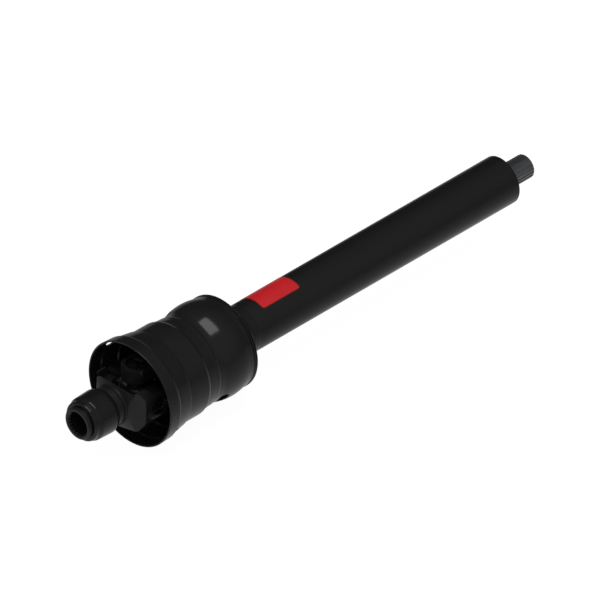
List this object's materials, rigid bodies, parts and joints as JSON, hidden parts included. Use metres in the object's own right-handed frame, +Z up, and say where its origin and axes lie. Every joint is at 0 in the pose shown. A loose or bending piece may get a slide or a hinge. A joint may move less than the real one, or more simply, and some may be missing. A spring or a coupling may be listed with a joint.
{
  "type": "guarded drive shaft",
  "caption": "Tractor half of a farm drive shaft: quick-release splined yoke, wide-angle joint and splined shaft in a free-turning plastic guard.",
  "frame": {"origin": "on the shaft's axis, in the mouth of the tractor yoke's splined bore", "axes": "+X along the shaft to its splined end, +Z up along the centre housing's ears, Y along the yokes' ears"},
  "size_m": [1.0503, 0.1938, 0.1938],
  "materials": {
    "shaft_steel": "dark phosphated steel",
    "joint_paint": "black enamel on forged steel",
    "collar_paint": "black enamel on turned steel",
    "cross_steel": "black enamel on forged steel",
    "cap_steel": "blackened bearing steel",
    "bearing_steel": "polished steel",
    "spring_steel": "oiled spring steel",
    "fitting_zinc": "zinc-plated steel",
    "bronze": "sintered bronze",
    "seal_rubber": "nitrile rubber",
    "guard_plastic": "extruded black polyethylene",
    "bell_plastic": "blow-moulded black polyethylene",
    "bearing_plastic": "natural nylon",
    "label_red": "plain red vinyl"
  },
  "bodies": {
    "shaft": {"splined_shaft": "shaft_steel", "shaft_yoke": "joint_paint", "spring_pin": "spring_steel", "centring_bush": "bronze", "shaft_yoke_cap_left": "cap_steel", "shaft_yoke_cap_right": "cap_steel", "shaft_yoke_snap_rings": "spring_steel", "shaft_yoke_seals": "seal_rubber"},
    "guard": {"shield_tube": "guard_plastic", "shield_bell": "bell_plastic", "shield_back_cone": "bell_plastic", "shield_bearing": "bearing_plastic", "label": "label_red"},
    "rear_cross": {"rear_cross": "cross_steel", "rear_grease_fitting": "fitting_zinc"},
    "housing": {"centre_housing": "joint_paint", "housing_front_cap_top": "cap_steel", "housing_front_cap_bottom": "cap_steel", "housing_front_snap_rings": "spring_steel", "housing_front_seals": "seal_rubber", "housing_rear_cap_top": "cap_steel", "housing_rear_cap_bottom": "cap_steel", "housing_rear_snap_rings": "spring_steel", "housing_rear_seals": "seal_rubber"},
    "front_cross": {"front_cross": "cross_steel", "front_grease_fitting": "fitting_zinc"},
    "yoke": {"tractor_yoke": "joint_paint", "centring_ball": "bearing_steel", "collar_stop_ring": "spring_steel", "yoke_cap_left": "cap_steel", "yoke_cap_right": "cap_steel", "yoke_snap_rings": "spring_steel", "yoke_seals": "seal_rubber"},
    "collar": {"slide_collar": "collar_paint", "collar_spring": "spring_steel"},
    "ball_1": {"lock_ball_1": "bearing_steel"},
    "ball_2": {"lock_ball_2": "bearing_steel"},
    "ball_3": {"lock_ball_3": "bearing_steel"}
  },
  "joints": [
    {"name": "guard_spin", "type": "hinge", "parent": "shaft", "child": "guard", "pos_m": [0.322, 0, 0], "axis": [1, 0, 0], "continuous": true},
    {"name": "rear_pitch", "type": "hinge", "parent": "shaft", "child": "rear_cross", "pos_m": [0.225, 0, 0], "axis": [0, 1, 0], "range_deg": [-9, 9]},
    {"name": "rear_yaw", "type": "hinge", "parent": "rear_cross", "child": "housing", "pos_m": [0.225, 0, 0], "axis": [0, 0, 1], "range_deg": [-9, 9]},
    {"name": "front_yaw", "type": "hinge", "parent": "housing", "child": "front_cross", "pos_m": [0.137, 0, 0], "axis": [0, 0, 1], "range_deg": [-9, 9]},
    {"name": "front_pitch", "type": "hinge", "parent": "front_cross", "child": "yoke", "pos_m": [0.137, 0, 0], "axis": [0, 1, 0], "range_deg": [-9, 9]},
    {"name": "collar_slide", "type": "slide", "parent": "yoke", "child": "collar", "axis": [1, 0, 0], "range_m": [0, 0.012], "stiffness_N_per_m": 2500, "springref_m": -0.006, "deforming": ["collar_spring"]},
    {"name": "ball_1_slide", "type": "slide", "parent": "yoke", "child": "ball_1", "axis": [0, 0, 1], "range_m": [0, 0.0034]},
    {"name": "ball_2_slide", "type": "slide", "parent": "yoke", "child": "ball_2", "axis": [0, -0.866, -0.5], "range_m": [0, 0.0034]},
    {"name": "ball_3_slide", "type": "slide", "parent": "yoke", "child": "ball_3", "axis": [0, 0.866, -0.5], "range_m": [0, 0.0034]}
  ],
  "couplings": [
    {"joint": "front_yaw", "follows": "rear_yaw", "ratio": 1},
    {"joint": "front_pitch", "follows": "rear_pitch", "ratio": 1},
    {"joint": "ball_1_slide", "follows": "collar_slide", "ratio": 0.2833},
    {"joint": "ball_2_slide", "follows": "collar_slide", "ratio": 0.2833},
    {"joint": "ball_3_slide", "follows": "collar_slide", "ratio": 0.2833}
  ]
}
